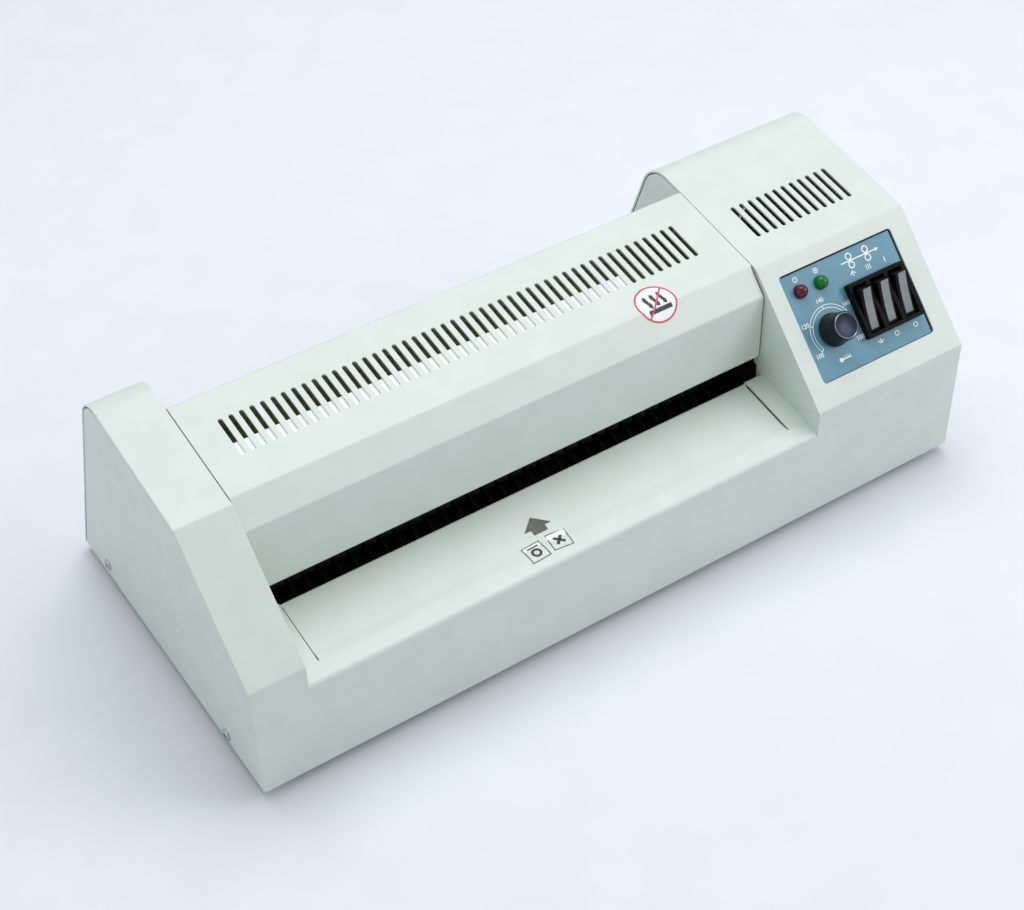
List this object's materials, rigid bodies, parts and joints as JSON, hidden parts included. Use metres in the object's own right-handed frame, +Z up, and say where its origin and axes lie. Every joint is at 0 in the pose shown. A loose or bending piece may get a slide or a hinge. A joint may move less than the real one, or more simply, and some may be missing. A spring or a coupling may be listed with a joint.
{
  "type": "pouch laminator",
  "caption": "Desktop hot-roller pouch laminator with a folded steel casing, rising feed tray, slotted cover and a control panel with knob, lamps and rocker switches.",
  "frame": {"origin": "on the table, under the middle of the casing", "axes": "+X along the machine from the left end cover to the control housing, +Y from the feed side to the exit side, +Z up"},
  "size_m": [0.5032, 0.238, 0.1705],
  "materials": {
    "casing_paint": "satin powder coat",
    "liner_paint": "white gloss paint",
    "zinc_steel": "zinc plated",
    "ground_steel": "ground",
    "silicone": "moulded silicone",
    "black_plastic": "moulded, fine texture",
    "black_knob": "moulded",
    "grey_rocker": "moulded, satin",
    "natural_nylon": "moulded",
    "bronze": "sintered",
    "aluminium": "extruded",
    "turned_aluminium": "turned",
    "phenolic": "machined",
    "circuit_board": "solder resist",
    "fascia": "screen printed, satin",
    "red_lens": "clear tinted",
    "green_lens": "clear tinted",
    "foot_rubber": "moulded"
  },
  "bodies": {
    "casing": {"front_panel": "casing_paint", "base_pan": "zinc_steel", "rear_panel": "casing_paint", "exit_ramp": "casing_paint", "left_end_cover": "casing_paint", "left_side_plate": "casing_paint", "left_inner_wall": "casing_paint", "control_housing": "casing_paint", "right_side_plate": "casing_paint", "right_inner_wall": "casing_paint", "centre_cover": "casing_paint", "cover_liner": "liner_paint", "heat_shield": "zinc_steel", "feed_tray": "casing_paint", "entry_guide_lower": "black_plastic", "entry_guide_upper": "black_plastic", "left_frame_plate": "zinc_steel", "right_frame_plate": "zinc_steel", "tie_rods": "ground_steel", "lower_bushes": "bronze", "bearing_blocks": "bronze", "pressure_springs": "ground_steel", "motor_bracket": "zinc_steel", "motor": "zinc_steel", "upper_heater_plate": "aluminium", "lower_heater_plate": "aluminium", "heater_brackets": "phenolic", "thermal_cutouts": "ground_steel", "control_board": "circuit_board", "board_parts": "black_plastic", "standoffs": "ground_steel", "cord_gland": "black_plastic", "fuse_holder": "black_plastic", "control_fascia": "fascia", "switch_frame": "black_plastic", "switch_bodies": "black_plastic", "potentiometer": "zinc_steel", "red_lamp": "red_lens", "green_lamp": "green_lens", "feet": "foot_rubber", "pan_head_screws": "ground_steel"},
    "front_lower_roller": {"front_lower_shaft": "ground_steel", "front_lower_sleeve": "silicone", "front_lower_gear": "natural_nylon"},
    "front_upper_roller": {"front_upper_shaft": "ground_steel", "front_upper_sleeve": "silicone", "front_upper_gear": "natural_nylon"},
    "rear_lower_roller": {"rear_lower_shaft": "ground_steel", "rear_lower_sleeve": "silicone", "rear_lower_gear": "natural_nylon"},
    "rear_upper_roller": {"rear_upper_shaft": "ground_steel", "rear_upper_sleeve": "silicone", "rear_upper_gear": "natural_nylon"},
    "drive": {"drive_gear": "natural_nylon", "motor_shaft": "ground_steel"},
    "knob": {"knob": "black_knob", "knob_cap": "turned_aluminium"},
    "left_rocker": {"left_rocker": "grey_rocker"},
    "middle_rocker": {"middle_rocker": "grey_rocker"},
    "right_rocker": {"right_rocker": "grey_rocker"}
  },
  "joints": [
    {"name": "front_lower_spin", "type": "hinge", "parent": "casing", "child": "front_lower_roller", "pos_m": [-0.04, -0.034, 0.071], "axis": [1, 0, 0], "continuous": true},
    {"name": "front_upper_spin", "type": "hinge", "parent": "casing", "child": "front_upper_roller", "pos_m": [-0.04, -0.034, 0.097], "axis": [1, 0, 0], "continuous": true},
    {"name": "rear_lower_spin", "type": "hinge", "parent": "casing", "child": "rear_lower_roller", "pos_m": [-0.04, 0.014, 0.071], "axis": [1, 0, 0], "continuous": true},
    {"name": "rear_upper_spin", "type": "hinge", "parent": "casing", "child": "rear_upper_roller", "pos_m": [-0.04, 0.014, 0.097], "axis": [1, 0, 0], "continuous": true},
    {"name": "drive_gear_spin", "type": "hinge", "parent": "casing", "child": "drive", "pos_m": [0.15, -0.01, 0.053], "axis": [1, 0, 0], "continuous": true},
    {"name": "temperature_knob_turn", "type": "hinge", "parent": "casing", "child": "knob", "pos_m": [0.1692, -0.0944, 0.12469], "axis": [0, -0.7045, 0.7097], "range_deg": [-125, 125]},
    {"name": "left_rocker_tip", "type": "hinge", "parent": "casing", "child": "left_rocker", "pos_m": [0.1956, -0.0866, 0.12151], "axis": [1, 0, 0], "range_deg": [-36, 0]},
    {"name": "middle_rocker_tip", "type": "hinge", "parent": "casing", "child": "middle_rocker", "pos_m": [0.2095, -0.0866, 0.12151], "axis": [1, 0, 0], "range_deg": [-36, 0]},
    {"name": "right_rocker_tip", "type": "hinge", "parent": "casing", "child": "right_rocker", "pos_m": [0.2234, -0.0866, 0.12151], "axis": [1, 0, 0], "range_deg": [-36, 0]}
  ],
  "couplings": [
    {"joint": "front_upper_spin", "follows": "front_lower_spin", "ratio": -1},
    {"joint": "rear_lower_spin", "follows": "front_lower_spin", "ratio": 1},
    {"joint": "rear_upper_spin", "follows": "front_lower_spin", "ratio": -1},
    {"joint": "drive_gear_spin", "follows": "front_lower_spin", "ratio": -0.76471}
  ]
}
